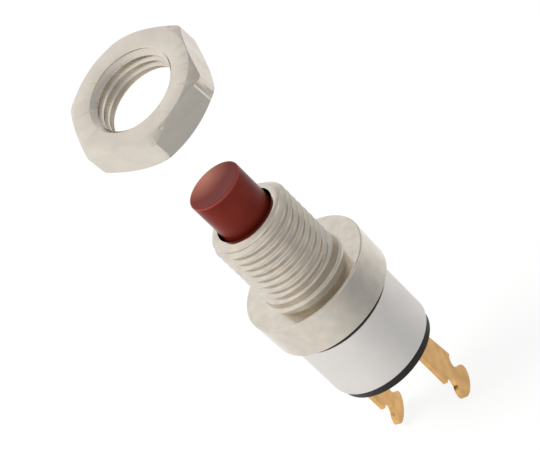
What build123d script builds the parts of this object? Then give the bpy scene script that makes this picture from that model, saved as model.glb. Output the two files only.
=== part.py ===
from build123d import *
import os
from math import cos, hypot, pi, radians, sqrt

# Subminiature momentary pushbutton switch, fixed to a panel by its threaded bushing.
# Millimetres. +Z runs along the axis, out through the button. The origin is the centre of
# the collar's front face, where the panel seats. The case and the lugs lie below it.

# Panel bushing: thread, lead chamfer and collar, turned from one bar
thread_d = 6.35
thread_pitch = 0.635
bushing_length = 6.45
lead_chamfer = 0.35
lead_length = 0.5
root_flare = 0.28
collar_overhang = 0.73
collar_taper = 0.09
collar_length = 3.11
collar_edge = 0.14
web_thickness = 0.6
spigot_length = 0.84

# Button cap
button_d = 4.12
button_bore_clearance = 0.2
button_reach = 3.17
button_insertion = 1.3
button_edge = 0.08
press_travel = 0.9
stop_gap = 0.2

# Plunger, its seal and its upper stop
plunger_d = 3.0
running_clearance = 0.05
fit_gap = 0.02
rest_gap = 0.02
cap_spigot_d = 2.0
cap_spigot_length = 2.4
spigot_chamfer = 0.15
seal_wire_d = 0.46
seal_groove_depth = 0.47
seal_groove_width = 0.8
seal_height = 2.2
stop_washer_width = 0.95
stop_washer_thickness = 0.23
clip_width = 0.6
clip_thickness = 0.28
clip_groove_depth = 0.38
clip_mouth = 2.1
clip_prong_width = 0.8
clip_prong_count = 3
stem_below_clip = 0.17

# Straight runs that each turn of a spring is drawn in
spring_runs = 12

# Moving contact: insulator, spring, disc and carrier, held by the stem's peened end
carrier_spigot_d = 1.8
insulator_overhang = 0.32
insulator_thickness = 0.3
carrier_wall = 0.43
carrier_flange_thickness = 0.6
disc_side_gap = 0.2
disc_thickness = 0.35
disc_edge_chamfer = 0.09
contact_spring_length = 2.0
contact_spring_wire_d = 0.26
contact_spring_turns = 3.0
contact_spring_gap = 0.37
washer_thickness = 0.2
peen_width = 0.25
peen_height = 0.2
peen_taper = 0.3

# Return spring and its well
return_spring_length = 3.6
return_spring_wire_d = 0.34
return_spring_turns = 4.5
return_spring_gap = 0.08
washer_overhang = 0.18
well_clearance = 0.1

# Case: gasket, sleeve, liner and base
gasket_thickness = 0.53
gasket_inset = 0.04
sleeve_wall = 0.2
base_clearance = 0.03
base_rim = 0.47
base_floor = 1.06
base_step = 0.57
base_edge = 0.08
liner_wall = 0.3
liner_clearance = 0.05
liner_top_gap = 0.12

# Solder lugs and the fixed contacts on their bent-in ends
lug_thickness = 0.35
lug_width = 2.8
lug_inner_width = 1.6
lug_side_gap = 0.166
lug_neck_depth = 0.8
lug_bend_r = 0.3
lug_waist_width = 1.8
lug_notch_r = 0.72
lug_notch_place = 1.34
lug_notch_reach = 4.62
lug_head_reach = 1.23
lug_head_width = 2.96
lug_head_height = 1.6
lug_head_offset = 0.1
lug_corner_r = 0.14
pad_clearance = 0.075
pad_margin = 0.02
contact_gap = 0.47
rivet_head_d = 0.66
rivet_head_height = 0.35
rivet_dome = 0.12
rivet_shank_d = 0.36
rivet_reach = 0.4

# Hex nut, shown taken off and tipped a little in front of the button
nut_across_flats = 9.1
nut_corner_trim = 0.1
nut_thickness = 2.5
nut_face_inset = 0.05
nut_chamfer = 0.45
nut_countersink = 0.025
nut_offset_x = 0.49
nut_offset_y = 0.57
nut_standoff = 8.02
nut_tip_angle = 13.95
nut_tip_bearing = -68.0
nut_turn_angle = 56.0

# Radii that follow from the sizes above
thread_r = thread_d / 2
button_bore_r = button_d / 2 + button_bore_clearance
plunger_r = plunger_d / 2
guide_r = plunger_r + running_clearance
carrier_spigot_r = carrier_spigot_d / 2
carrier_r = carrier_spigot_r + fit_gap + carrier_wall
contact_coil_r = carrier_r + contact_spring_gap + contact_spring_wire_d / 2
insulator_r = contact_coil_r + contact_spring_wire_d / 2 + insulator_overhang
peen_r = carrier_spigot_r + peen_width
return_coil_r = peen_r + return_spring_gap + return_spring_wire_d / 2
washer_r = return_coil_r + return_spring_wire_d / 2 + washer_overhang
well_r = washer_r + well_clearance
pad_inner_x = washer_r + pad_clearance
lug_inner_x = pad_inner_x + rivet_head_d + 2 * pad_margin
lug_outer_x = lug_inner_x + lug_thickness
rivet_x = (pad_inner_x + lug_inner_x) / 2
liner_bore_r = hypot(lug_outer_x, lug_inner_width / 2) + lug_side_gap
liner_r = liner_bore_r + liner_wall
cavity_r = liner_r + liner_clearance
disc_r = liner_bore_r - disc_side_gap
base_r = cavity_r + base_rim
sleeve_inner_r = base_r + base_clearance
sleeve_r = sleeve_inner_r + sleeve_wall
collar_front_r = sleeve_r + collar_overhang
collar_back_r = collar_front_r - collar_taper

# Heights that follow, from the button down to the lugs
button_top = bushing_length + button_reach
button_foot = bushing_length - button_insertion
button_bore_floor = button_foot - press_travel - stop_gap
web_bottom = -web_thickness
stop_washer_top = web_bottom - rest_gap
clip_top = stop_washer_top - stop_washer_thickness
clip_bottom = clip_top - clip_thickness
stem_shoulder = clip_bottom - stem_below_clip
insulator_bottom = stem_shoulder - insulator_thickness
disc_top = insulator_bottom - contact_spring_length
disc_bottom = disc_top - disc_thickness
carrier_bottom = disc_bottom - carrier_flange_thickness
washer_bottom = carrier_bottom - washer_thickness
well_floor = washer_bottom - return_spring_length
rivet_top = disc_bottom - contact_gap
pad_top = rivet_top - rivet_head_height
pad_bottom = pad_top - lug_thickness
rivet_end = pad_bottom - rivet_reach
lug_shoulder = pad_bottom - lug_neck_depth
gasket_top = -collar_length
sleeve_top = gasket_top - gasket_thickness
spigot_end = gasket_top - spigot_length
base_bottom = well_floor - base_floor
sleeve_bottom = base_bottom + base_step
notch_level = base_bottom - lug_notch_reach
head_level = notch_level - lug_head_reach


def turned(*profile):
    """A solid of revolution about Z, from its (radius, height) corners."""
    outline = Polyline(*[(r, 0, z) for r, z in profile], close=True)
    return revolve(make_face(outline), Axis.Z)


def ring(outer_r, inner_r, bottom, top):
    """A plain ring or tube on the axis."""
    return turned((inner_r, bottom), (outer_r, bottom), (outer_r, top), (inner_r, top))


def slab(low, high):
    """A box from its low corner to its high corner."""
    size = Vector(*high) - Vector(*low)
    return Pos(*low) * Box(*size, align=Align.MIN)


def round_edges(solid, radius, height):
    """The circular edges of a turned solid that have this radius and lie at this height."""
    return [
        e for e in solid.edges().filter_by(GeomType.CIRCLE)
        if abs(e.radius - radius) < 1e-3 and abs(e.arc_center.Z - height) < 1e-3
    ]


def coil_spring(coil_r, wire_d, turns, bottom, top):
    """A compression spring between two heights, in short straight runs of square wire."""
    side = wire_d * sqrt(pi) / 2
    rise = top - bottom - side
    runs = round(turns * spring_runs)
    section = Pos(coil_r, 0, bottom + side / 2) * Rot(X=90) * Rectangle(side, side)
    stations = [
        Pos(0, 0, rise * i / runs) * Rot(Z=360 * turns * i / runs) * section for i in range(runs + 1)
    ]
    return loft(stations, ruled=True)


def panel_bushing():
    """Threaded bushing and collar, bored for the button, the plunger and the contacts."""
    body = turned(
        (guide_r, button_bore_floor), (button_bore_r, button_bore_floor),
        (button_bore_r, bushing_length), (thread_r - lead_chamfer, bushing_length),
        (thread_r, bushing_length - lead_length), (thread_r, root_flare), (thread_r + root_flare, 0),
        (collar_front_r, 0), (collar_back_r, -collar_length),
        (base_r, -collar_length), (base_r, spigot_end), (cavity_r, spigot_end),
        (cavity_r, web_bottom), (guide_r, web_bottom),
    )
    body = chamfer(round_edges(body, collar_front_r, 0), collar_edge)
    return chamfer(round_edges(body, collar_back_r, -collar_length), collar_edge)


def button_cap():
    """Moulded cap with a socket for the plunger's top spigot."""
    socket_r = cap_spigot_d / 2 + fit_gap
    socket_end = button_foot + cap_spigot_length + fit_gap
    cap = turned(
        (socket_r, button_foot), (button_d / 2, button_foot), (button_d / 2, button_top),
        (0, button_top), (0, socket_end), (socket_r, socket_end),
    )
    return chamfer(round_edges(cap, button_d / 2, button_top), button_edge)


def plunger():
    """Stem with a spigot for the cap, two grooves and a peened spigot for the carrier."""
    cap_r = cap_spigot_d / 2
    seal_r = plunger_r - seal_groove_depth
    seal_top = seal_height + seal_groove_width
    clip_r = plunger_r - clip_groove_depth
    spigot_top = button_foot + cap_spigot_length
    return turned(
        (0, spigot_top), (cap_r - spigot_chamfer, spigot_top),
        (cap_r, spigot_top - spigot_chamfer), (cap_r, button_foot), (plunger_r, button_foot),
        (plunger_r, seal_top), (seal_r, seal_top), (seal_r, seal_height), (plunger_r, seal_height),
        (plunger_r, clip_top + rest_gap), (clip_r, clip_top + rest_gap),
        (clip_r, clip_bottom - rest_gap), (plunger_r, clip_bottom - rest_gap),
        (plunger_r, stem_shoulder), (carrier_spigot_r, stem_shoulder),
        (carrier_spigot_r, washer_bottom), (peen_r, washer_bottom),
        (peen_r - peen_taper, washer_bottom - peen_height), (0, washer_bottom - peen_height),
    )


def stem_o_ring():
    """O-ring in the plunger's upper groove, its round section drawn six-sided."""
    ring_r = plunger_r - seal_groove_depth + fit_gap + seal_wire_d / 2
    centre = (ring_r, 0, seal_height + seal_groove_width / 2)
    return revolve(Plane(origin=centre, z_dir=(0, 1, 0)) * RegularPolygon(seal_wire_d / 2, 6), Axis.Z)


def retaining_ring():
    """Snap ring: an open band whose prongs reach into the plunger's lower groove."""
    reach = guide_r + clip_width
    half = clip_prong_width / 2
    band = ring(reach, guide_r, clip_bottom, clip_top)
    disc = ring(reach, plunger_r - clip_groove_depth + fit_gap, clip_bottom, clip_top)
    prong = slab((0, -half, clip_bottom), (reach, half, clip_top))
    for i in range(clip_prong_count):
        band += disc & (Rot(Z=90 + i * 360 / clip_prong_count) * prong)
    return band - slab((-clip_mouth / 2, -reach, clip_bottom), (clip_mouth / 2, -guide_r / 2, clip_top))


def contact_carrier():
    """Insulating bush whose flange lifts the contact disc off the rivets."""
    bore_r = carrier_spigot_r + fit_gap
    return turned(
        (bore_r, insulator_bottom), (bore_r, carrier_bottom), (washer_r, carrier_bottom),
        (washer_r, disc_bottom), (carrier_r, disc_bottom), (carrier_r, insulator_bottom),
    )


def contact_disc():
    """Bridging disc with its upper rim chamfered."""
    disc = ring(disc_r, carrier_r + running_clearance, disc_bottom, disc_top)
    return chamfer(round_edges(disc, disc_r, disc_top), disc_edge_chamfer)


def terminal_base():
    """Moulded base with a spring well, a seat for the liner and the lugs' slots."""
    base = turned(
        (0, base_bottom), (base_r, base_bottom), (base_r, spigot_end), (cavity_r, spigot_end),
        (cavity_r, pad_bottom), (well_r, pad_bottom), (well_r, well_floor), (0, well_floor),
    )
    base = chamfer(round_edges(base, base_r, base_bottom), base_edge)
    inner_x = lug_inner_x - fit_gap
    outer_x = lug_outer_x + fit_gap
    neck = lug_inner_width / 2 + fit_gap
    blade = lug_width / 2 + fit_gap
    slot = slab((inner_x, -neck, lug_shoulder), (outer_x, neck, pad_bottom))
    slot += slab((inner_x, -blade, base_bottom), (outer_x, blade, lug_shoulder + fit_gap))
    slot += ring(rivet_shank_d / 2 + fit_gap, 0, rivet_end - fit_gap, pad_bottom).moved(Pos(rivet_x, 0, 0))
    return base - slot - Rot(Z=180) * slot


def strip(width, low, high):
    """A length of flat strip, centred, between two heights on the drawing plane."""
    return Pos(0, (low + high) / 2) * Rectangle(width, high - low)


def solder_lug():
    """Stamped lug: notched blade with a wide oval head, its top bent in as a pad."""
    outline = Pos(lug_head_offset, head_level) * Ellipse(lug_head_width / 2, lug_head_height / 2)
    outline += strip(lug_waist_width, head_level, notch_level)
    outline += strip(lug_width, notch_level, lug_shoulder)
    outline += strip(lug_inner_width, lug_shoulder, pad_top)
    for side in (-1, 1):
        outline -= Pos(side * lug_notch_place, notch_level) * Circle(lug_notch_r)
    corners = [
        v for v in outline.vertices()
        if abs(abs(v.X) - lug_width / 2) < 1e-3 and v.Y < (lug_shoulder + notch_level) / 2
    ]
    outline = fillet(corners, lug_corner_r)
    lug = extrude(Plane.YZ.offset(lug_inner_x) * outline, lug_thickness)
    half = lug_inner_width / 2
    lug += slab((pad_inner_x, -half, pad_bottom), (lug_outer_x, half, pad_top))
    bend = [
        e for e in lug.edges().filter_by(Axis.Y)
        if abs(e.center().X - lug_outer_x) < 1e-3 and abs(e.center().Z - pad_top) < 1e-3
    ]
    lug = fillet(bend, lug_bend_r)
    return lug - ring(rivet_shank_d / 2 + fit_gap, 0, pad_bottom, pad_top).moved(Pos(rivet_x, 0, 0))


def contact_rivet():
    """Fixed contact: a domed head on the lug's pad and a shank down into the base."""
    head_r = rivet_head_d / 2
    shank_r = rivet_shank_d / 2
    rivet = turned(
        (0, rivet_top), (head_r - rivet_dome, rivet_top), (head_r, rivet_top - rivet_dome),
        (head_r, pad_top), (shank_r, pad_top), (shank_r, rivet_end), (0, rivet_end),
    )
    return Pos(rivet_x, 0, 0) * rivet


def hex_nut():
    """Hex nut with both faces chamfered, its corners turned off and its bore countersunk."""
    minor_r = (thread_d - 5 / 8 * sqrt(3) * thread_pitch) / 2
    rim_r = thread_r + nut_countersink
    face_r = nut_across_flats / 2 - nut_face_inset
    corner_r = nut_across_flats / 2 / cos(radians(30)) - nut_corner_trim
    half = nut_thickness / 2
    prism = extrude(RegularPolygon(nut_across_flats / 2, 6, major_radius=False), half, both=True)
    blank = turned(
        (minor_r, rim_r - minor_r - half), (rim_r, -half), (face_r, -half),
        (corner_r, nut_chamfer - half), (corner_r, half - nut_chamfer),
        (face_r, half), (rim_r, half), (minor_r, half + minor_r - rim_r),
    )
    place = Pos(nut_offset_x, nut_offset_y, button_top + nut_standoff)
    return place * Rot(Z=nut_tip_bearing) * Rot(Y=nut_tip_angle) * Rot(Z=nut_turn_angle) * (prism & blank)


nodes = {
    "panel_bushing": panel_bushing(),
    "hex_nut": hex_nut(),
    "button_cap": button_cap(),
    "plunger": plunger(),
    "stem_o_ring": stem_o_ring(),
    "stop_washer": ring(guide_r + stop_washer_width, guide_r, clip_top, stop_washer_top),
    "retaining_ring": retaining_ring(),
    "spring_insulator": ring(
        insulator_r, carrier_spigot_r + fit_gap, insulator_bottom, stem_shoulder),
    "contact_spring": coil_spring(
        contact_coil_r, contact_spring_wire_d, contact_spring_turns, disc_top, insulator_bottom),
    "contact_carrier": contact_carrier(),
    "contact_disc": contact_disc(),
    "carrier_washer": ring(washer_r, carrier_spigot_r + fit_gap, washer_bottom, carrier_bottom),
    "return_spring": coil_spring(
        return_coil_r, return_spring_wire_d, return_spring_turns, well_floor, washer_bottom),
    "insulating_liner": ring(liner_r, liner_bore_r, pad_bottom, web_bottom - liner_top_gap),
    "case_gasket": ring(sleeve_r - gasket_inset, base_r + fit_gap, sleeve_top, gasket_top),
    "case_sleeve": ring(sleeve_r, sleeve_inner_r, sleeve_bottom, sleeve_top),
    "terminal_base": terminal_base(),
    "solder_lug_right": solder_lug(),
    "solder_lug_left": mirror(solder_lug(), about=Plane.YZ),
    "contact_rivet_right": contact_rivet(),
    "contact_rivet_left": Rot(Z=180) * contact_rivet(),
}

os.makedirs("parts", exist_ok=True)
for name, shape in nodes.items():
    export_step(shape, f"parts/{name}.step")
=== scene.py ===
"""Studio look of a small threaded pushbutton switch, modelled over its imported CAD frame."""
import math
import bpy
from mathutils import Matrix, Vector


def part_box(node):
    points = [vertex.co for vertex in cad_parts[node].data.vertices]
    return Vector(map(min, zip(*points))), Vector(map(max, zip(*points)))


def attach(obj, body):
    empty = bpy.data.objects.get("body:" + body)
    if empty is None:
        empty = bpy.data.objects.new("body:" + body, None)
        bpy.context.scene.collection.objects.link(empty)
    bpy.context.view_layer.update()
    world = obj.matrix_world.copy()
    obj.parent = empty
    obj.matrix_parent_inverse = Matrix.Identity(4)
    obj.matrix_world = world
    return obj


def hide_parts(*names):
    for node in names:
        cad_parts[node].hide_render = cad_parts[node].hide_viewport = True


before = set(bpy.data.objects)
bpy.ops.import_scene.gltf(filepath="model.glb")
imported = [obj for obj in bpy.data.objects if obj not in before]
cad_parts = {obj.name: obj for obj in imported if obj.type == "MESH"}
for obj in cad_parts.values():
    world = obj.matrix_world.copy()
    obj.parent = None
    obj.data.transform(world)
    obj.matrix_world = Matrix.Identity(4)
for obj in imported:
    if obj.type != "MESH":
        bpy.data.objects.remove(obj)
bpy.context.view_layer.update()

from types import SimpleNamespace

import bpy
from mathutils import Matrix, Vector

bl_info = {
    "name": "Pushbutton Switch Look",
    "version": (1, 0, 0),
    "blender": (4, 5, 0),
    "location": "View3D > Sidebar > Switch",
    "description": "Models and finishes a threaded pushbutton switch on its CAD frame",
    "category": "Object",
}

# Pieces are modelled in millimetres and scaled to metres when they are done.
MM = 0.001

# Steps round a turned piece, and the half step that keeps a thread's own steps off them
ROUND_STEPS = 144
HALF_STEP = math.pi / ROUND_STEPS

# Steps, each as wide as two of those, in which the thread's tool climbs out
RUN_OUT_STEPS = 30

# Closest distance of separate points, in millimetres
MERGE_DISTANCE = 0.0005

# Width of the slivers that are taken out after a cut, in millimetres
SLIVER = 0.004

# Where most of a noise pattern's values lie
PATTERN_LOW, PATTERN_HIGH = 0.3, 0.7

# How near a place a point must lie to be picked, in millimetres, and how nearly a face
# must look along a direction, as a cosine
PICK_DISTANCE = 0.01
PICK_ALIGNMENT = 0.999

# Gap between a piece and the hole that it stands in, in millimetres
FIT = 0.02

# How far a cutter reaches past the metal that it cuts, in millimetres
REACH = 0.3

# Slope of a thread's flanks, and half the angle that one flat of a hex nut takes up
FLANK_SLOPE = math.tan(math.radians(30))
HALF_FLAT = math.radians(30)


def box_mm(node):
    """Lowest and highest corner of a CAD node in millimetres."""
    low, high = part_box(node)
    return low / MM, high / MM


def in_mm(group):
    """A copy of a property group with its lengths in millimetres."""
    values = {}
    for key in type(group).__annotations__:
        value = getattr(group, key)
        is_length = group.bl_rna.properties[key].unit == "LENGTH"
        values[key] = value / MM if is_length else value
    return SimpleNamespace(**values)


def colour(code):
    """A hex colour as written on screen, as the linear colour that a shader takes."""
    channels = [int(code[i:i + 2], 16) / 255 for i in (1, 3, 5)]
    linear = [c / 12.92 if c <= 0.04045 else ((c + 0.055) / 1.055) ** 2.4 for c in channels]
    return (*linear, 1.0)


def length(description, default):
    """A size property, given in millimetres and kept in metres."""
    return bpy.props.FloatProperty(
        description=description, default=default * MM, min=0.0, unit="LENGTH", precision=5)


def angle(description, default):
    """An angle property, given in degrees and kept in radians."""
    return bpy.props.FloatProperty(
        description=description, default=math.radians(default), unit="ROTATION")


def amount(description, default):
    """A property for a plain strength or share."""
    return bpy.props.FloatProperty(description=description, default=default, min=0.0)


def tint(description, code):
    """A colour property, given as the hex colour seen on screen."""
    return bpy.props.FloatVectorProperty(
        description=description, default=colour(code), size=4, min=0.0, max=1.0,
        subtype="COLOR")


# Faint blue of the thin clear film on plated metal
PASSIVATION = colour("#BCC8CB")


class SwitchThread(bpy.types.PropertyGroup):
    """The quarter-inch fine thread that the bushing and the nut share."""
    outer_radius: length("Radius over the thread's crests", 3.175)
    pitch: length("Height of one turn of the thread", 0.635)
    depth: length("Depth of the bushing's groove", 0.33)
    crest_round: length("Height of the slope that softens each crest", 0.06)
    crest_spread: length("How far that slope reaches over the crest", 0.033)
    first_groove: length("Height of the lowest full groove above the collar", 0.88)
    runout: length("How far the tool climbs out at the thread's end", 0.43)
    start: angle("Where the thread ends around the axis", 205.0)
    nut_minor_radius: length("Radius inside the nut's crests", 2.831)


class SwitchBushing(bpy.types.PropertyGroup):
    """The turned bushing with its collar."""
    lead_chamfer: length("Width of the slope at the nose", 0.5)
    lead_length: length("Height of the slope at the nose", 0.5)
    root_fillet: length("Radius where the neck meets the collar", 0.28)
    nose_edge: length("Rounding round the nose", 0.12)
    bore_edge: length("Rounding at the mouth of the bore", 0.05)
    collar_edge: length("Rounding of the collar's front edge", 0.14)
    back_edge: length("Rounding of the collar's back edge", 0.084)
    bore_radius: length("Radius of the hole round the button", 2.26)
    bore_floor: length("Height of the floor under the button", 4.05)
    guide_radius: length("Radius of the hole round the stem", 1.55)
    web: length("Thickness of the wall above the contacts", 0.6)
    cavity_radius: length("Radius of the room for the contacts", 3.504)
    collar_back: length("Depth of the collar", 3.11)
    collar_taper: length("How much the collar narrows to its back", 0.09)
    metal: tint("Plated metal", "#D6CDC0")


class SwitchNut(bpy.types.PropertyGroup):
    """The loose hex nut in front of the button."""
    across_flats: length("Width between two opposite flats", 9.1)
    thickness: length("Thickness of the nut", 2.5)
    face_radius: length("Radius of each flat ring face", 4.5)
    corner_radius: length("Radius of the turned-off corners", 5.154)
    chamfer: length("Depth of the slope at each corner", 0.45)
    rim_radius: length("Radius of the countersink at each face", 3.2)
    corner_edge: length("Rounding of the upright corners", 0.07)
    fine_edge: length("Rounding of every other edge", 0.035)
    ridge_place: length("Distance of the fine ridge from its corner", 0.68)
    ridge_width: length("Half of the ridge's width", 0.06)
    ridge_height: length("How far the ridge stands out of the flat", 0.045)
    tip: angle("How far the nut leans from the axis", 13.95)
    bearing: angle("The side that it leans to", -68.0)
    turn: angle("How far it is turned about its own axis", 56.0)
    thread_start: angle("Where its thread enters", 20.0)
    metal: tint("Plated metal", "#D8CFC3")


class SwitchButton(bpy.types.PropertyGroup):
    """The moulded button cap."""
    edge: length("Rounding of the top edge", 0.07)
    foot_edge: length("Rounding of the foot", 0.05)
    border: length("Width of the flat border round the dish", 0.154)
    dish: length("How far the top is hollowed", 0.06)
    # Where the painted sheen on the top lies, and how far it reaches
    sheen_x: length("How far the rubbed side lies from the axis, away from X", 1.1)
    sheen_y: length("How far it lies along Y", 1.4)
    sheen_near: length("Reach of its palest part", 0.3)
    sheen_far: length("Reach of all of it", 2.2)
    # Depths between which the painted sheen and the painted edge highlight fade in on the top
    top_fade: length("Depth at which the top's own colours begin", 0.13)
    top_full: length("Depth from which they show in full", 0.05)
    # Widths of the painted highlight along the top edge
    highlight_fade: length("Width of the paler edge", 0.1)
    highlight_full: length("Width of its palest part", 0.03)
    socket_radius: length("Radius of the hole for the stem", 1.02)
    socket_depth: length("Depth of the hole for the stem", 2.42)
    plastic: tint("Oxide red moulding", "#6B2116")
    # Painted highlight along the top edge
    rim: tint("The thin top edge, where light comes through", "#96403A")
    # Painted sheen on one side of the top
    rubbed: tint("The rubbed side of the top", "#A86A5A")


class SwitchCase(bpy.types.PropertyGroup):
    """The drawn sleeve, the seam under the collar and the moulded base."""
    sleeve_wall: length("Thickness of the sleeve", 0.2)
    sleeve_edge: length("Rounding of the sleeve's lower edge", 0.17)
    sleeve_top_edge: length("Rounding of the sleeve's upper edge", 0.05)
    gasket_edge: length("Rounding of the gasket's edges", 0.03)
    rivet_radius: length("Radius of the holes for the contact rivets", 0.2)
    sleeve_short: length("How far the sleeve ends short of its solid", 0.08)
    base_proud: length("How far the base stands out below its solid", 0.07)
    base_edge: length("Rounding of the base's lower edge", 0.1)
    well_radius: length("Radius of the well for the spring", 1.85)
    well_floor: length("Depth of the well's floor below the collar's face", 8.35)
    seat: length("Depth of the liner's seat below the collar's face", 5.12)
    sleeve_metal: tint("Satin metal", "#E3DFDB")
    moulding: tint("Black moulding", "#191814")


class SwitchLugs(bpy.types.PropertyGroup):
    """The stamped solder lugs."""
    blade_width: length("Width of the blade at its notches", 2.8)
    blade_root: length("Reach of the blade's upper side where it leaves the base", 0.86)
    blade_reach: length("Reach of the blade's upper side at its notch", 1.3)
    neck_width: length("Width inside the case", 1.6)
    neck_depth: length("Height of the narrow neck below the pad", 0.8)
    notch_radius: length("Radius of each side notch", 0.62)
    notch_place: length("Distance of each notch from the middle", 1.2)
    notch_height: length("Height of the notches from the tip", 2.17)
    head_width: length("Width of the oval end", 2.76)
    head_height: length("Height of the oval end", 1.8)
    head_lift: length("How far the oval end stays above the solid's tip", 0.06)
    head_offset: length("How far the oval end stands off the middle", 0.14)
    left_bend: angle("How far the left lug's end is bent outwards", 12.0)
    bend_length: length("Height over which that bend is spread", 0.3)
    edge: length("Rolled edge left by the stamping", 0.05)
    gold: tint("Gold plating", "#E6B878")


class SwitchStudio(bpy.types.PropertyGroup):
    """The camera, the floor and the lamps."""
    lens: amount("Focal length in millimetres, for a frame 36 mm wide", 133.33)
    floor_radius: length("Radius of the pale floor", 900.0)
    floor_gap: length("How far the floor lies below the lugs", 0.02)
    floor: tint("Pale floor", "#FFFFFF")
    floor_white: amount("Share of even white that thins the floor's shadow", 0.88)
    card_x: length("How far the grey card's middle lies along X", 26.0)
    card_y: length("How far it lies from X, towards the camera", 8.0)
    card_radius: length("How far the grey card's soft edge reaches", 38.0)
    card: tint("Grey card that the metal reflects", "#A4A8AC")
    window_side: angle("The side of the room that is brightest", 184.0)
    room_bright: amount("Brightness of the window side in reflections", 1.12)
    room_dim: amount("Brightness of the opposite side in reflections", 0.54)
    room_edge: amount("How far the change between the sides spreads", 0.75)
    ambient: amount("Strength of the soft light from all sides", 0.45)


def deselect():
    """Object mode with nothing selected, as before each new piece."""
    if bpy.context.object is not None and bpy.context.object.mode != "OBJECT":
        bpy.ops.object.mode_set(mode="OBJECT")
    bpy.ops.object.select_all(action="DESELECT")


def pick(piece):
    """Object mode with only this piece selected and active."""
    deselect()
    piece.select_set(True)
    bpy.context.view_layer.objects.active = piece


def settle(piece):
    """Puts a piece's own place and turn into its mesh."""
    pick(piece)
    bpy.ops.object.transform_apply(location=True, rotation=True, scale=True)


def named(name):
    """The object that was just added, with this name on it and its mesh."""
    made = bpy.context.object
    made.name = made.data.name = name
    return made


def edit(piece):
    """Edit mode on one piece, with all of it selected."""
    pick(piece)
    bpy.ops.object.mode_set(mode="EDIT")
    bpy.ops.mesh.select_all(action="SELECT")


def select_parts(piece, kind, chosen):
    """In edit mode, selects the points, edges or faces for which chosen(part) is true."""
    bpy.ops.mesh.select_mode(type=kind)
    bpy.ops.mesh.select_all(action="DESELECT")
    bpy.ops.object.mode_set(mode="OBJECT")
    mesh = piece.data
    for part in {"VERT": mesh.vertices, "EDGE": mesh.edges, "FACE": mesh.polygons}[kind]:
        part.select = chosen(part)
    bpy.ops.object.mode_set(mode="EDIT")


def select_edges(piece, chosen):
    """In edit mode, selects the edges for which chosen(start, end) is true."""
    def between(edge):
        return chosen(*(piece.data.vertices[i].co for i in edge.vertices))
    select_parts(piece, "EDGE", between)


def draw_line(name, points, closed=True):
    """A line through (radius, height) points, pulled out of one point vertex by vertex."""
    deselect()
    bpy.ops.mesh.primitive_plane_add(size=1.0, location=(0, 0, 0))
    line = named(name)
    bpy.ops.object.mode_set(mode="EDIT")
    bpy.ops.mesh.select_mode(type="VERT")
    bpy.ops.mesh.select_all(action="SELECT")
    bpy.ops.mesh.merge(type="CENTER")
    bpy.ops.transform.translate(value=(points[0][0], 0, points[0][1]))
    path = list(points) + ([points[0]] if closed else [])
    for (r0, z0), (r1, z1) in zip(path, path[1:]):
        bpy.ops.mesh.extrude_region_move(TRANSFORM_OT_translate={"value": (r1 - r0, 0, z1 - z0)})
    bpy.ops.mesh.select_all(action="SELECT")
    bpy.ops.mesh.remove_doubles(threshold=MERGE_DISTANCE)
    return line


def arc(across, up, wide, high, start, end, steps):
    """Points along an oval arc round (across, up), from one angle in degrees to another."""
    angles = [math.radians(start + (end - start) * i / steps) for i in range(steps + 1)]
    return [(across + wide * math.cos(a), up + high * math.sin(a)) for a in angles]


def turn(name, points, closed=True):
    """A turned piece: its profile of (radius, height) points spun about the axis."""
    piece = draw_line(name, points, closed)
    bpy.ops.mesh.spin(steps=ROUND_STEPS, angle=2 * math.pi, center=(0, 0, 0), axis=(0, 0, 1))
    bpy.ops.mesh.select_all(action="SELECT")
    bpy.ops.mesh.remove_doubles(threshold=MERGE_DISTANCE)
    bpy.ops.mesh.normals_make_consistent(inside=False)
    return piece


def round_ring(piece, radius, height, width, segments):
    """Rounds the ring of edges at this radius and height."""
    def on_ring(a, b):
        return all(
            abs(math.hypot(p.x, p.y) - radius) < PICK_DISTANCE
            and abs(p.z - height) < PICK_DISTANCE for p in (a, b))
    select_edges(piece, on_ring)
    bpy.ops.mesh.bevel(offset=width, segments=segments, affect="EDGES", clamp_overlap=True)


def apply_modifier(piece, kind, **settings):
    """Adds a modifier with these settings and applies it."""
    pick(piece)
    modifier = piece.modifiers.new(kind.lower(), kind)
    for key, value in settings.items():
        setattr(modifier, key, value)
    bpy.ops.object.modifier_apply(modifier=modifier.name)


def soften(piece, rounding, segments, above):
    """Rounds every edge whose faces meet at more than this many degrees."""
    apply_modifier(
        piece, "BEVEL", width=rounding, segments=segments, limit_method="ANGLE",
        angle_limit=math.radians(above))


def combine(piece, other, operation):
    """Joins, cuts or keeps the common part of two solids, and removes the second."""
    apply_modifier(piece, "BOOLEAN", operation=operation, object=other, solver="EXACT")
    if len(piece.data.polygons) == 0:
        raise RuntimeError(f"{piece.name} vanished when it met {other.name}")
    bpy.data.objects.remove(other)


def block(name, low, high):
    """A block from its low corner to its high corner, to build a solid from."""
    deselect()
    bpy.ops.mesh.primitive_cube_add(size=1.0)
    solid = named(name)
    solid.scale = [b - a for a, b in zip(low, high)]
    solid.location = [(a + b) / 2 for a, b in zip(low, high)]
    settle(solid)
    return solid


def round_bar(name, radius, place_x, low, high):
    """An upright round bar beside the axis, from one height to another, to cut a hole with."""
    deselect()
    bpy.ops.mesh.primitive_cylinder_add(vertices=96, radius=radius, depth=high - low)
    solid = named(name)
    solid.location = (place_x, 0, (low + high) / 2)
    settle(solid)
    return solid


def screw_up(name, section, pitch, turns):
    """A helical cutter: a closed section screwed up the axis, right-handed, ends open."""
    cutter = draw_line(name, section)
    apply_modifier(
        cutter, "SCREW", axis="Z", angle=2 * math.pi, screw_offset=pitch, iterations=turns,
        steps=ROUND_STEPS, use_normal_calculate=True)
    return cutter


def close_up(piece):
    """Fills a piece's open ends and turns its faces outwards."""
    edit(piece)
    bpy.ops.mesh.remove_doubles(threshold=MERGE_DISTANCE)
    bpy.ops.mesh.fill_holes(sides=0)
    bpy.ops.mesh.select_all(action="SELECT")
    bpy.ops.mesh.normals_make_consistent(inside=False)
    deselect()


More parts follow.
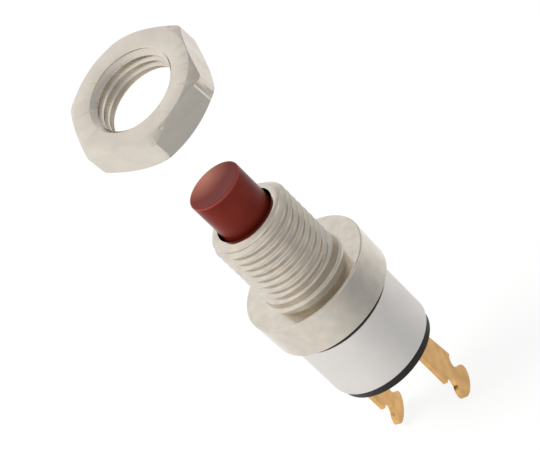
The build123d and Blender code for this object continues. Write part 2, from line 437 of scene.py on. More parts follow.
def clear_slivers(piece):
    """Takes out the thinnest slivers that a cut has left."""
    edit(piece)
    bpy.ops.mesh.remove_doubles(threshold=SLIVER)
    bpy.ops.mesh.dissolve_degenerate(threshold=SLIVER)
    deselect()


def cut_thread(piece, cutter, start):
    """Turns a helical cutter to its thread's start and cuts the thread with it."""
    close_up(cutter)
    cutter.rotation_euler.z = start + HALF_STEP
    settle(cutter)
    combine(piece, cutter, "DIFFERENCE")
    clear_slivers(piece)


def run_out(cutter, section, pitch, climb):
    """Carries a cutter's lower end on down its helix while it climbs out of the metal."""
    low_z = min(z for r, z in section)
    high_z = max(z for r, z in section)
    edit(cutter)

    def at_start(a, b):
        return all(
            abs(p.y) < MERGE_DISTANCE and p.x > 0
            and low_z - PICK_DISTANCE < p.z < high_z + PICK_DISTANCE for p in (a, b))
    select_edges(cutter, at_start)
    step_angle = 4 * HALF_STEP
    for i in range(1, RUN_OUT_STEPS + 1):
        bearing = -i * step_angle
        bpy.ops.mesh.extrude_region_move(
            TRANSFORM_OT_translate={"value": (0, 0, -pitch * step_angle / (2 * math.pi))})
        # Run without a window, this operator turns the other way.
        bpy.ops.transform.rotate(value=step_angle, orient_axis="Z", center_override=(0, 0, 0))
        outward = Vector((math.cos(bearing), math.sin(bearing), 0)) * climb / RUN_OUT_STEPS
        bpy.ops.transform.translate(value=outward)
    deselect()


def finish_piece(piece, material, body, node, smooth=40):
    """Scales a piece to metres, smooths it, gives it its material and sets it on the frame."""
    piece.scale = (MM, MM, MM)
    settle(piece)
    bpy.ops.object.shade_smooth_by_angle(angle=math.radians(smooth))
    apply_modifier(piece, "WEIGHTED_NORMAL", keep_sharp=True)
    piece.data.materials.clear()
    piece.data.materials.append(material)
    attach(piece, body)
    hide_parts(node)


def add_node(tree, kind, settings=None, links=None):
    """Adds a shader node, sets its options and inputs, and links inputs to other outputs."""
    node = tree.nodes.new(kind)
    for key, value in (settings or {}).items():
        if isinstance(key, int) or key in node.inputs:
            node.inputs[key].default_value = value
        else:
            setattr(node, key, value)
    for key, output in (links or {}).items():
        tree.links.new(output, node.inputs[key])
    return node


def new_material(name, settings):
    """A material with one Principled shader, and the piece's own coordinates."""
    material = bpy.data.materials.new(name)
    material.use_nodes = True
    tree = material.node_tree
    tree.nodes.clear()
    shader = add_node(tree, "ShaderNodeBsdfPrincipled", settings)
    add_node(tree, "ShaderNodeOutputMaterial", links={"Surface": shader.outputs["BSDF"]})
    place = add_node(tree, "ShaderNodeTexCoord").outputs["Object"]
    return material, tree, shader, place


def grain(tree, place, size, stretch=(1, 1, 1), detail=2.0):
    """A noise pattern whose spots are this many millimetres across, stretched along an axis."""
    mapping = add_node(
        tree, "ShaderNodeMapping", {"Scale": [1 / (size * MM * s) for s in stretch]},
        {"Vector": place})
    return add_node(
        tree, "ShaderNodeTexNoise", {"Scale": 1.0, "Detail": detail},
        {"Vector": mapping.outputs["Vector"]}).outputs["Fac"]


def mottled(tree, pattern, first, second, start=PATTERN_LOW, end=PATTERN_HIGH, most=1.0,
            kind="LINEAR"):
    """Two colours mixed over a pattern's range; the first may come from another mix."""
    share = add_node(
        tree, "ShaderNodeMapRange",
        {"interpolation_type": kind, "From Min": start, "From Max": end, "To Max": most},
        {"Value": pattern})
    mix = add_node(
        tree, "ShaderNodeMix", {"data_type": "RGBA", 7: second}, {0: share.outputs["Result"]})
    if isinstance(first, tuple):
        mix.inputs[6].default_value = first
    else:
        tree.links.new(first, mix.inputs[6])
    return mix.outputs[2]


def relief(tree, layers):
    """Bumps laid over each other, each a (pattern, height in millimetres, strength)."""
    normal = None
    for pattern, height, strength in layers:
        links = {"Height": pattern}
        if normal is not None:
            links["Normal"] = normal
        normal = add_node(
            tree, "ShaderNodeBump", {"Distance": height * MM, "Strength": strength},
            links).outputs["Normal"]
    return normal


def skin(tree, shader, body, gloss, layers):
    """Gives a shader its colour, its roughness as (pattern, from, to) and its bumps."""
    pattern, low, high = gloss
    roughness = add_node(
        tree, "ShaderNodeMapRange",
        {"From Min": PATTERN_LOW, "From Max": PATTERN_HIGH, "To Min": low, "To Max": high},
        {"Value": pattern})
    tree.links.new(body, shader.inputs["Base Color"])
    tree.links.new(roughness.outputs["Result"], shader.inputs["Roughness"])
    tree.links.new(relief(tree, layers), shader.inputs["Normal"])


def shade(base, factor):
    """A colour made darker or lighter, its strength in the linear scale."""
    return (*[min(1.0, c * factor) for c in base[:3]], 1.0)


def plated_metal(name, base, mottle_size, patches, roughness, dents):
    """Bright plating over turned metal: pale warm silver with soft mottling and tool lines."""
    material, tree, shader, place = new_material(name, {"Metallic": 1.0})
    mottle = grain(tree, place, mottle_size, detail=4.0)
    speck = grain(tree, place, 0.12)
    lines = grain(tree, place, 0.06, stretch=(60, 60, 1))
    # The plating shows warmer, darker patches where it is thin.
    body = mottled(tree, mottle, shade(base, patches), base)
    # Its clear passivation leaves faint blue tints among the straw ones.
    film = grain(tree, place, 0.8, stretch=(1, 1, 0.5))
    body = mottled(tree, film, body, PASSIVATION, 0.5, 0.75, most=0.3)
    # Its gloss changes from patch to patch. Faint tool lines run round the axis, and
    # handling has left small dents.
    skin(tree, shader, body, (mottle, roughness + 0.08, roughness - 0.05), [
        (mottle, 0.05, dents), (speck, 0.003, 0.35), (lines, 0.002, 0.4)])
    return material


def red_moulding(sizes, radius, top):
    """Hard red plastic: oxide red with a soft gloss, a painted highlight along the top edge and a
    painted sheen on one side of the top.
    """
    base = tuple(sizes.plastic)
    material, tree, shader, place = new_material(
        "Hard red plastic", {"IOR": 1.5, "Specular IOR Level": 0.1})
    flow = grain(tree, place, 1.6, stretch=(1, 1, 2.5))
    speck = grain(tree, place, 0.08)
    height = add_node(tree, "ShaderNodeSeparateXYZ", links={0: place}).outputs["Z"]
    on_top = add_node(
        tree, "ShaderNodeMapRange",
        {"From Min": top - sizes.top_fade, "From Max": top - sizes.top_full},
        {"Value": height}).outputs["Result"]

    def top_only(value, start, end):
        """A mask on the top that grows as the value goes from start to end."""
        share = add_node(
            tree, "ShaderNodeMapRange", {"From Min": start, "From Max": end}, {"Value": value})
        return add_node(
            tree, "ShaderNodeMath", {"operation": "MULTIPLY"},
            {0: on_top, 1: share.outputs["Result"]}).outputs[0]

    # Flow from the mould leaves slightly browner streaks along the cap.
    body = mottled(tree, flow, shade(base, 0.8), shade(base, 1.1))
    # A painted sheen: one side of the top is painted paler, fading out across it.
    from_patch = add_node(
        tree, "ShaderNodeVectorMath",
        {"operation": "DISTANCE", 1: (-sizes.sheen_x, sizes.sheen_y, top)}, {0: place})
    patch = top_only(from_patch.outputs["Value"], sizes.sheen_far, sizes.sheen_near)
    body = mottled(tree, patch, body, tuple(sizes.rubbed), 0.0, 1.0)
    # A painted highlight: the thin top edge is painted paler.
    across = add_node(
        tree, "ShaderNodeVectorMath", {"operation": "MULTIPLY", 1: (1, 1, 0)}, {0: place})
    from_axis = add_node(
        tree, "ShaderNodeVectorMath", {"operation": "LENGTH"}, {0: across.outputs[0]})
    edge = top_only(
        from_axis.outputs["Value"], radius - sizes.highlight_fade, radius - sizes.highlight_full)
    body = mottled(tree, edge, body, tuple(sizes.rim), 0.0, 1.0)
    # The skin is glossy with duller handled patches, and a fine texture softens highlights.
    skin(tree, shader, body, (flow, 0.3, 0.2), [(flow, 0.02, 0.4), (speck, 0.002, 0.4)])
    return material


def satin_sleeve(base):
    """Drawn sleeve metal: white satin with very fine lines along the draw."""
    material, tree, shader, place = new_material("Satin drawn metal", {"Metallic": 1.0})
    lines = grain(tree, place, 0.05, stretch=(1, 1, 40))
    cloud = grain(tree, place, 2.2)
    # Slight clouds in the satin finish; the draw lines scatter the gloss and can be felt.
    body = mottled(tree, cloud, shade(base, 0.95), base)
    skin(tree, shader, body, (lines, 0.46, 0.54), [(cloud, 0.01, 0.3), (lines, 0.001, 0.4)])
    return material


def black_moulding(base):
    """Filled black moulding: near-black with a dull, slightly grainy skin."""
    material, tree, shader, place = new_material(
        "Black filled moulding", {"IOR": 1.5, "Specular IOR Level": 0.3})
    filler = grain(tree, place, 0.15, detail=4.0)
    # Pale filler shows as fine specks in a semi-matt, faintly rough skin.
    body = mottled(tree, filler, base, shade(base, 1.8), 0.45, 0.75)
    skin(tree, shader, body, (filler, 0.38, 0.5), [(filler, 0.004, 0.5)])
    return material


def gold_plating(base):
    """Gold plating on stamped brass: warm pale gold with a soft orange-peel surface."""
    material, tree, shader, place = new_material("Gold plating", {"Metallic": 1.0})
    cloud = grain(tree, place, 0.9, detail=3.0)
    peel = grain(tree, place, 0.2)
    # The gold is deeper in colour where it is thicker, with dull and bright patches, and
    # the strip's rolled surface shows through.
    body = mottled(tree, cloud, shade(base, 0.88), shade(base, 1.06))
    skin(tree, shader, body, (cloud, 0.52, 0.4), [(cloud, 0.02, 0.5), (peel, 0.006, 0.5)])
    return material


def plain_metal(name, code, roughness, line_stretch):
    """Bare metal for an inner piece: one tone with fine lines from its making."""
    material, tree, shader, place = new_material(name, {"Metallic": 1.0})
    base = colour(code)
    lines = grain(tree, place, 0.08, stretch=line_stretch)
    # Darker and lighter lines with a little depth, which also break up the gloss.
    body = mottled(tree, lines, shade(base, 0.85), base)
    skin(tree, shader, body, (lines, roughness - 0.05, roughness + 0.05), [(lines, 0.002, 0.5)])
    return material


def dull_insulator(name, code, roughness, spot):
    """Insulating board, plastic or rubber for an inner piece: a matt, faintly mottled tone."""
    material, tree, shader, place = new_material(name, {"IOR": 1.5})
    base = colour(code)
    fibre = grain(tree, place, spot, detail=4.0)
    # Fibres or filler change the tone slightly and leave the matt surface a little rough.
    body = mottled(tree, fibre, shade(base, 0.82), base)
    skin(tree, shader, body, (fibre, roughness - 0.06, roughness + 0.06), [(fibre, 0.003, 0.5)])
    return material


def dress_node(name, material):
    """Gives a CAD node that stays in view its material."""
    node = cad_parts[name]
    if not node.material_slots:
        node.data.materials.append(material)
    for slot in node.material_slots:
        slot.material = material


def blade_range(name):
    """The lowest and highest X of a lug's blade, below the base."""
    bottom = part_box("terminal_base")[0].z
    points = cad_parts[name].data.vertices
    xs = [p.co.x / MM for p in points if p.co.z < bottom]
    return min(xs), max(xs)


class SWITCH_OT_bushing(bpy.types.Operator):
    """Turn the bushing and its collar, then cut the thread"""
    bl_idname = "switch.bushing"
    bl_label = "Bushing"

    def execute(self, context):
        sizes = in_mm(context.scene.switch_bushing)
        thread = in_mm(context.scene.switch_thread)
        low, high = box_mm("panel_bushing")
        crest_r = thread.outer_radius
        nose_r = crest_r - sizes.lead_chamfer
        front_r = min(high.x, high.y, -low.x, -low.y)
        back_r = front_r - sizes.collar_taper
        spigot_r = box_mm("terminal_base")[1].x
        bore_r, guide_r, cavity_r = sizes.bore_radius, sizes.guide_radius, sizes.cavity_radius
        back_z, web_z, floor_z = -sizes.collar_back, -sizes.web, sizes.bore_floor
        bushing = turn("turned_bushing", [
            (bore_r, high.z), (nose_r, high.z), (crest_r, high.z - sizes.lead_length),
            (crest_r, 0), (front_r, 0), (back_r, back_z), (spigot_r, back_z), (spigot_r, low.z),
            (cavity_r, low.z), (cavity_r, web_z), (guide_r, web_z), (guide_r, floor_z),
            (bore_r, floor_z)])
        for radius, height, rounding, segments in (
            (crest_r, 0, sizes.root_fillet, 6),
            (front_r, 0, sizes.collar_edge, 5),
            (back_r, back_z, sizes.back_edge, 3),
            (bore_r, high.z, sizes.bore_edge, 3),
            (nose_r, high.z, sizes.nose_edge, 4),
        ):
            round_ring(bushing, radius, height, rounding, segments)

        # Half of the groove's width outside, at the foot of the soft slope and at its root.
        # The crest between two grooves is an eighth of the pitch, as in a unified thread.
        pitch, depth, soft = thread.pitch, thread.depth, thread.crest_round
        mouth = (pitch - pitch / 8) / 2
        outside = mouth + thread.crest_spread
        foot = mouth - soft * FLANK_SLOPE
        root = mouth - depth * FLANK_SLOPE
        middle = thread.first_groove
        section = [
            (crest_r - depth, middle - root), (crest_r - depth, middle + root),
            (crest_r - soft, middle + foot), (crest_r, middle + outside),
            (crest_r + REACH, middle + outside), (crest_r + REACH, middle - outside),
            (crest_r, middle - outside), (crest_r - soft, middle - foot)]
        turns = math.ceil((high.z - middle) / pitch) + 1
        cutter = screw_up("thread_cutter", section, pitch, turns)
        run_out(cutter, section, pitch, thread.runout)
        cut_thread(bushing, cutter, thread.start)
        material = plated_metal(
            "Tumbled plated metal", tuple(sizes.metal), mottle_size=0.9, patches=0.86,
            roughness=0.15, dents=0.1)
        finish_piece(bushing, material, "case", "panel_bushing")
        return {"FINISHED"}


class SWITCH_OT_nut(bpy.types.Operator):
    """Shape the loose hex nut and tap its thread"""
    bl_idname = "switch.nut"
    bl_label = "Hex Nut"

    def execute(self, context):
        sizes = in_mm(context.scene.switch_nut)
        thread = in_mm(context.scene.switch_thread)
        half = sizes.thickness / 2
        minor_r, rim_r = thread.nut_minor_radius, sizes.rim_radius
        face_r, corner_r = sizes.face_radius, sizes.corner_radius
        # Heights at which the corner's slope and the countersink end
        slope_z = half - sizes.chamfer
        sink_z = half - (rim_r - minor_r)
        deselect()
        bpy.ops.mesh.primitive_cylinder_add(
            vertices=6, radius=sizes.across_flats / 2 / math.cos(HALF_FLAT),
            depth=2 * (half + REACH), rotation=(0, 0, HALF_FLAT))
        nut = named("loose_hex_nut")
        settle(nut)
        edit(nut)
        select_edges(nut, lambda a, b: abs(a.z - b.z) > half)
        bpy.ops.mesh.bevel(offset=sizes.corner_edge, segments=3, affect="EDGES")
        self.ridge(nut, sizes)
        blank = turn("nut_blank", [
            (minor_r, -sink_z), (rim_r, -half), (face_r, -half), (corner_r, -slope_z),
            (corner_r, slope_z), (face_r, half), (rim_r, half), (minor_r, sink_z)])
        combine(nut, blank, "INTERSECT")
        soften(nut, sizes.fine_edge, 2, 18)

        # The nut's own crest is a quarter of the pitch.
        pitch, crest_r = thread.pitch, thread.outer_radius
        mouth = (pitch - pitch / 4) / 2
        root = mouth - (crest_r - minor_r) * FLANK_SLOPE
        # The tap starts a turn and a half below the nut and runs out above it.
        first = -half - 1.5 * pitch
        section = [
            (minor_r - REACH, first - mouth), (minor_r, first - mouth), (crest_r, first - root),
            (crest_r, first + root), (minor_r, first + mouth), (minor_r - REACH, first + mouth)]
        turns = math.ceil(2 * half / pitch) + 3
        cut_thread(nut, screw_up("nut_tap", section, pitch, turns), sizes.thread_start)

        low, high = box_mm("hex_nut")
        lean = Matrix.Rotation(sizes.bearing, 4, "Z") @ Matrix.Rotation(sizes.tip, 4, "Y")
        turned = Matrix.Rotation(sizes.turn, 4, "Z")
        nut.matrix_world = Matrix.Translation((low + high) / 2) @ lean @ turned
        settle(nut)
        material = plated_metal(
            "Nickel-plated nut", tuple(sizes.metal), mottle_size=1.4, patches=0.93,
            roughness=0.26, dents=0.02)
        finish_piece(nut, material, "case", "hex_nut", smooth=30)
        return {"FINISHED"}

    def ridge(self, nut, sizes):
        """Raises the fine ridge that the press left on one flat, beside its corner."""
        # This flat faces half a flat's angle below X and ends at the corner on X.
        outward = Vector((math.cos(HALF_FLAT), -math.sin(HALF_FLAT), 0))
        along = Vector((math.sin(HALF_FLAT), math.cos(HALF_FLAT), 0))
        corner = Vector((sizes.across_flats / 2 / math.cos(HALF_FLAT), 0, 0))
        middle = corner - along * sizes.ridge_place
        select_parts(nut, "FACE", lambda face: face.normal.dot(outward) > PICK_ALIGNMENT)
        bpy.ops.mesh.bisect(plane_co=middle, plane_no=along)

        def at_middle(a, b):
            return all(
                abs((p - middle).dot(along)) < MERGE_DISTANCE
                and (p - middle).dot(outward) > -PICK_DISTANCE for p in (a, b))
        select_edges(nut, at_middle)
        bpy.ops.mesh.bevel(offset=sizes.ridge_width, segments=2, affect="EDGES")
        select_edges(nut, at_middle)
        bpy.ops.transform.translate(value=outward * sizes.ridge_height)


class SWITCH_OT_button(bpy.types.Operator):
    """Mould the button cap"""
    bl_idname = "switch.button"
    bl_label = "Button Cap"

    def execute(self, context):
        sizes = in_mm(context.scene.switch_button)
        low, high = box_mm("button_cap")
        cap_r, socket_r = high.x, sizes.socket_radius
        flat_r = cap_r - sizes.border
        socket_z = low.z + sizes.socket_depth
        # Shares of the dish's radius and of its depth, from its middle to its border
        dish = ((0, 1), (0.35, 0.88), (0.65, 0.58), (0.87, 0.2), (1, 0))
        cap = turn("moulded_button", [
            *((flat_r * across, high.z - sizes.dish * deep) for across, deep in dish),
            (cap_r, high.z), (cap_r, low.z), (socket_r, low.z), (socket_r, socket_z),
            (0, socket_z)], closed=False)
        round_ring(cap, cap_r, high.z, sizes.edge, 4)
        round_ring(cap, cap_r, low.z, sizes.foot_edge, 2)
        material = red_moulding(context.scene.switch_button, cap_r * MM, high.z * MM)
        finish_piece(cap, material, "button", "button_cap")
        return {"FINISHED"}


class SWITCH_OT_case(bpy.types.Operator):
    """Draw the sleeve, lay the seam's gasket and mould the base"""
    bl_idname = "switch.case"
    bl_label = "Case"

    def execute(self, context):
        sizes = in_mm(context.scene.switch_case)
        self.sleeve(sizes)
        self.gasket(sizes)
        self.base(sizes)
        return {"FINISHED"}

    def sleeve(self, sizes):
        """Draws the open tube, a little short of its solid so that the seams show."""
        low, high = box_mm("case_sleeve")
        outer_r = high.x
        inner_r = outer_r - sizes.sleeve_wall
        bottom, top = low.z + sizes.sleeve_short, high.z - sizes.sleeve_short
        sleeve = turn("drawn_sleeve", [
            (inner_r, bottom), (outer_r, bottom), (outer_r, top), (inner_r, top)])
        round_ring(sleeve, outer_r, bottom, sizes.sleeve_edge, 4)
        round_ring(sleeve, outer_r, top, sizes.sleeve_top_edge, 3)
        material = satin_sleeve(tuple(sizes.sleeve_metal))
        finish_piece(sleeve, material, "case", "case_sleeve")

    def gasket(self, sizes):
        """Lays the black ring under the collar, down to the shortened sleeve."""
        low, high = box_mm("case_gasket")
        inner_r = box_mm("terminal_base")[1].x + FIT
        bottom = low.z - sizes.sleeve_short
        gasket = turn("seam_gasket", [
            (inner_r, bottom), (high.x, bottom), (high.x, high.z), (inner_r, high.z)])
        for height in (bottom, high.z):
            round_ring(gasket, high.x, height, sizes.gasket_edge, 3)
        material = dull_insulator("Black rubber gasket", "#0C0B0B", roughness=0.7, spot=0.1)
        finish_piece(gasket, material, "case", "case_gasket")

    def base(self, sizes):
        """Moulds the base with its well, its two lug slots and its two rivet holes."""
        low, high = box_mm("terminal_base")
        cavity_r = in_mm(bpy.context.scene.switch_bushing).cavity_radius
        well_r, well_z, seat_z = sizes.well_radius, -sizes.well_floor, -sizes.seat
        bottom = low.z - sizes.base_proud
        base = turn("moulded_base", [
            (0, bottom), (high.x, bottom), (high.x, high.z), (cavity_r, high.z),
            (cavity_r, seat_z), (well_r, seat_z), (well_r, well_z), (0, well_z)], closed=False)
        round_ring(base, high.x, bottom, sizes.base_edge, 4)
        lugs = in_mm(bpy.context.scene.switch_lugs)
        neck, blade = lugs.neck_width / 2 + FIT, lugs.blade_width / 2 + FIT
        root = lugs.blade_root + FIT
        shoulder = seat_z - lugs.neck_depth
        for side in ("right", "left"):
            inner_x, outer_x = blade_range(f"solder_lug_{side}")
            rivet_low, rivet_high = box_mm(f"contact_rivet_{side}")
            for cutter in (
                block("neck_slot", (inner_x - FIT, -neck, shoulder - FIT),
                      (outer_x + FIT, neck, seat_z + REACH)),
                block("blade_slot", (inner_x - FIT, -blade, bottom - REACH),
                      (outer_x + FIT, root, shoulder + FIT)),
                round_bar("rivet_hole", sizes.rivet_radius, (rivet_low.x + rivet_high.x) / 2,
                          rivet_low.z - FIT, seat_z + REACH),
            ):
                combine(base, cutter, "DIFFERENCE")
        material = black_moulding(tuple(sizes.moulding))
        finish_piece(base, material, "case", "terminal_base")


class SWITCH_OT_lugs(bpy.types.Operator):
    """Stamp the two notched solder lugs"""
    bl_idname = "switch.lugs"
    bl_label = "Solder Lugs"

    def execute(self, context):
        sizes = in_mm(context.scene.switch_lugs)
        material = gold_plating(tuple(sizes.gold))
        for side in ("right", "left"):
            lug = self.stamp(f"stamped_lug_{side}", f"solder_lug_{side}", side, sizes)
            finish_piece(lug, material, "case", f"solder_lug_{side}")
        return {"FINISHED"}

    def stamp(self, name, node, side, sizes):
        """Stamps one lug from its outline and turns its inner end in as a pad."""
        low, high = box_mm(node)
        low_x, high_x = blade_range(node)
        base_z = box_mm("terminal_base")[0].z
        seat_z = -in_mm(bpy.context.scene.switch_case).seat
        shoulder = seat_z - sizes.neck_depth
        notch_y, notch_z = sizes.notch_place, low.z + sizes.notch_height
        notch_r, notch_top = sizes.notch_radius, notch_z + sizes.notch_radius
        head_r, head_up = sizes.head_width / 2, sizes.head_height / 2
        head_z = low.z + sizes.head_lift + head_up
        neck, blade, root = sizes.neck_width / 2, sizes.blade_width / 2, sizes.blade_root
        # Round a notch, round the oval end and round the other notch, each from one angle
        # in degrees to another
        lug = draw_line(name, [
            (neck, high.z), (neck, shoulder), (root, shoulder), (root, base_z),
            (sizes.blade_reach, notch_top),
            *arc(notch_y, notch_z, notch_r, notch_r, 90, 220, 14),
            *arc(sizes.head_offset, head_z, head_r, head_up, 64, -230, 48),
            *arc(-notch_y, notch_z, notch_r, notch_r, -40, 90, 14),
            (-blade, notch_top), (-blade, shoulder), (-neck, shoulder), (-neck, high.z)])
        bpy.ops.mesh.edge_face_add()
        bpy.ops.mesh.extrude_region_move(
            TRANSFORM_OT_translate={"value": (0, low_x - high_x, 0)})
        deselect()
        # The outline was drawn along X, and a quarter turn sets its width along Y.
        lug.rotation_euler.z = math.pi / 2
        lug.location.x = low_x
        settle(lug)
        close_up(lug)
        pad_low, pad_high = (low.x, high_x) if side == "right" else (low_x, high.x)
        combine(lug, block("pad", (pad_low, -neck, seat_z), (pad_high, neck, high.z)), "UNION")
        soften(lug, sizes.edge, 3, 35)
        if side == "left":
            self.bend_out(lug, notch_z, (low_x + high_x) / 2, sizes)
        return lug

    def bend_out(self, lug, height, middle_x, sizes):
        """Bends the end below this height outwards, at a few levels."""
        levels = 3
        for step in range(levels):
            level = height - sizes.bend_length * step / (levels - 1)
            edit(lug)
            select_parts(lug, "VERT", lambda point: point.co.z < level)
            # Run without a window, this operator turns the other way.
            bpy.ops.transform.rotate(
                value=-sizes.left_bend / levels, orient_axis="Y",
                center_override=(middle_x, 0, level))
        deselect()


class SWITCH_OT_inside(bpy.types.Operator):
    """Finish the stem, the springs and the contacts inside"""
    bl_idname = "switch.inside"
    bl_label = "Inner Parts"

    def execute(self, context):
        # Brushed grey of a turned stainless stem and its rings
        stem = plain_metal("Turned stainless steel", "#B9B7B2", 0.3, (30, 30, 1))
        # Dark grey of drawn spring wire
        wire = plain_metal("Drawn spring steel", "#8E8C88", 0.35, (1, 1, 20))
        # White sheen of silvered contacts
        silver = plain_metal("Silver-plated copper", "#D9D4CA", 0.25, (20, 20, 1))
        # Deep black of the stem's seal
        rubber = dull_insulator("Black seal rubber", "#1C1B1A", 0.55, 0.1)
        # Brown of laminated insulating board
        board = dull_insulator("Laminated insulating board", "#7A5B3C", 0.6, 0.25)
        for name, material in {
            "plunger": stem, "stop_washer": stem, "retaining_ring": stem, "carrier_washer": stem,
            "stem_o_ring": rubber, "spring_insulator": board, "contact_carrier": board,
            "insulating_liner": board, "contact_spring": wire, "return_spring": wire,
            "contact_disc": silver, "contact_rivet_right": silver, "contact_rivet_left": silver,
        }.items():
            dress_node(name, material)
        return {"FINISHED"}


class SWITCH_OT_studio(bpy.types.Operator):
    """Set up the floor, the lamps and the camera"""
    bl_idname = "switch.studio"
    bl_label = "Studio"

    def execute(self, context):
        sizes = context.scene.switch_studio
        scene = context.scene
        scene.view_settings.view_transform = "Standard"
        self.floor(sizes)
        self.world(scene, sizes)
        self.lamps()
        self.camera(scene, sizes)
        return {"FINISHED"}

    def floor(self, sizes):
        """Lays the pale floor, which keeps a thin shadow and mirrors a soft grey card."""
        deselect()
        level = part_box("solder_lug_right")[0].z - sizes.floor_gap
        bpy.ops.mesh.primitive_circle_add(
            vertices=96, radius=sizes.floor_radius, fill_type="NGON", location=(0, 0, level))
        floor = named("studio_floor")
        settle(floor)
        material = bpy.data.materials.new("Pale paper floor")
        material.use_nodes = True
        tree = material.node_tree
        tree.nodes.clear()
        place = add_node(tree, "ShaderNodeTexCoord").outputs["Object"]
        # A grey card beside the switch gives its bright metal a darker side.
        from_card = add_node(
            tree, "ShaderNodeVectorMath",
            {"operation": "DISTANCE", 1: (sizes.card_x, -sizes.card_y, level)}, {0: place})
        reflected = mottled(
            tree, from_card.outputs["Value"], tuple(sizes.card), tuple(sizes.floor),
            0.0, sizes.card_radius, kind="SMOOTHSTEP")
        seen, shown = background_glow(tree, reflected)
        paper = add_node(tree, "ShaderNodeBsdfDiffuse", {"Color": tuple(sizes.floor)})
        glow = add_node(tree, "ShaderNodeEmission", links={"Color": shown})
        share = add_node(
            tree, "ShaderNodeMath", {"operation": "MULTIPLY", 1: sizes.floor_white}, {0: seen})
        mix = add_node(
            tree, "ShaderNodeMixShader",
            links={0: share.outputs[0], 1: paper.outputs[0], 2: glow.outputs[0]})
        add_node(tree, "ShaderNodeOutputMaterial", links={"Surface": mix.outputs[0]})
        floor.data.materials.append(material)

    def world(self, scene, sizes):
        """Gives the room its soft light, its white backdrop and its brighter side."""
        world = scene.world or bpy.data.worlds.new("Studio")
        scene.world = world
        world.use_nodes = True
        tree = world.node_tree
        tree.nodes.clear()
        ambient = add_node(
            tree, "ShaderNodeBackground",
            {"Color": (1.0, 0.98, 0.96, 1.0), "Strength": sizes.ambient})
        # Reflections see the room grow darker from its window side to the opposite side.
        direction = add_node(tree, "ShaderNodeTexCoord").outputs["Generated"]
        window = (math.cos(sizes.window_side), math.sin(sizes.window_side), 0)
        towards = add_node(
            tree, "ShaderNodeVectorMath", {"operation": "DOT_PRODUCT", 1: window}, {0: direction})
        room = add_node(
            tree, "ShaderNodeMapRange",
            {"interpolation_type": "SMOOTHSTEP", "From Min": -sizes.room_edge,
             "From Max": sizes.room_edge, "To Min": sizes.room_dim, "To Max": sizes.room_bright},
            {"Value": towards.outputs["Value"]})
        seen, shown = background_glow(tree, room.outputs["Result"])
        backdrop = add_node(tree, "ShaderNodeBackground", links={"Color": shown})
        mix = add_node(
            tree, "ShaderNodeMixShader",
            links={0: seen, 1: ambient.outputs[0], 2: backdrop.outputs[0]})
        add_node(tree, "ShaderNodeOutputWorld", links={"Surface": mix.outputs[0]})

    def lamps(self):
        """Hangs two soft round lamps, each aimed at the switch's origin."""
        for name, place, size, power, tone in (
            ("key_lamp", (-0.13, -0.04, 0.20), 0.18, 0.60, (1.0, 0.97, 0.93)),
            ("fill_lamp", (0.14, -0.16, 0.10), 0.14, 0.12, (0.95, 0.97, 1.0)),
        ):
            deselect()
            bpy.ops.object.light_add(type="AREA", location=place)
            lamp = named(name)
            lamp.data.shape = "DISK"
            lamp.data.size = size
            lamp.data.energy = power
            lamp.data.color = tone
            lamp.visible_glossy = False
            lamp.rotation_euler = Vector(place).to_track_quat("Z", "Y").to_euler()

    def camera(self, scene, sizes):
        """Sets up the camera that was fitted to the photograph."""
        deselect()
        bpy.ops.object.camera_add()
        camera = named("photo_camera")
        right = Vector((0.78263, 0.10317, -0.61388))
        up = Vector((0.37918, 0.70309, 0.60158))
        back = Vector((0.49368, -0.70358, 0.51114))
        place = Vector((0.066615, -0.093682, 0.072805))
        turn_to = Matrix((right, up, back)).transposed().to_4x4()
        camera.matrix_world = Matrix.Translation(place) @ turn_to
        camera.data.lens = sizes.lens
        camera.data.sensor_width = 36.0
        camera.data.sensor_fit = "HORIZONTAL"
        camera.data.clip_start = 0.01
        camera.data.clip_end = 10.0
        scene.camera = camera


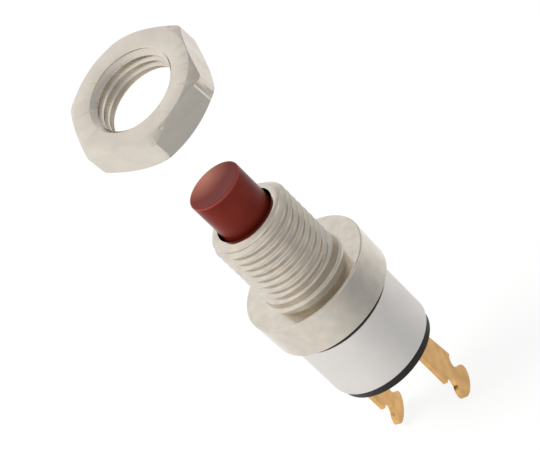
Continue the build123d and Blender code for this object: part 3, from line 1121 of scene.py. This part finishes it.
def background_glow(tree, reflected):
    """Where a ray sees the white background, and its colour: the given one in reflections."""
    path = add_node(tree, "ShaderNodeLightPath").outputs
    seen = path["Is Camera Ray"]
    for ray in ("Is Glossy Ray", "Is Transmission Ray"):
        seen = add_node(
            tree, "ShaderNodeMath", {"operation": "MAXIMUM"}, {0: seen, 1: path[ray]}).outputs[0]
    shown = add_node(
        tree, "ShaderNodeMix", {"data_type": "RGBA", 6: (1, 1, 1, 1)},
        {0: path["Is Glossy Ray"], 7: reflected})
    return seen, shown.outputs[2]


class SWITCH_PT_panel(bpy.types.Panel):
    """The switch's pieces and its studio"""
    bl_idname = "SWITCH_PT_panel"
    bl_label = "Pushbutton Switch"
    bl_space_type = "VIEW_3D"
    bl_region_type = "UI"
    bl_category = "Switch"

    def draw(self, context):
        for operator in OPERATORS:
            self.layout.operator(operator.bl_idname)


OPERATORS = (
    SWITCH_OT_bushing, SWITCH_OT_nut, SWITCH_OT_button, SWITCH_OT_case, SWITCH_OT_lugs,
    SWITCH_OT_inside, SWITCH_OT_studio,
)
GROUPS = {
    "switch_thread": SwitchThread, "switch_bushing": SwitchBushing, "switch_nut": SwitchNut,
    "switch_button": SwitchButton, "switch_case": SwitchCase, "switch_lugs": SwitchLugs,
    "switch_studio": SwitchStudio,
}
CLASSES = (*GROUPS.values(), *OPERATORS, SWITCH_PT_panel)


def register():
    """Labels the properties by their own names, and adds the classes and groups."""
    for group in GROUPS.values():
        for key, prop in group.__annotations__.items():
            prop.keywords["name"] = key.replace("_", " ").title()
    for each in CLASSES:
        bpy.utils.register_class(each)
    for name, group in GROUPS.items():
        setattr(bpy.types.Scene, name, bpy.props.PointerProperty(type=group))


def unregister():
    """Takes the groups and the classes away again."""
    for name in GROUPS:
        delattr(bpy.types.Scene, name)
    for each in reversed(CLASSES):
        bpy.utils.unregister_class(each)


def main():
    """Registers the add-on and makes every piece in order."""
    register()
    bpy.ops.switch.bushing()
    bpy.ops.switch.nut()
    bpy.ops.switch.button()
    bpy.ops.switch.case()
    bpy.ops.switch.lugs()
    bpy.ops.switch.inside()
    bpy.ops.switch.studio()
    bpy.context.view_layer.update()


if __name__ == "__main__":
    main()
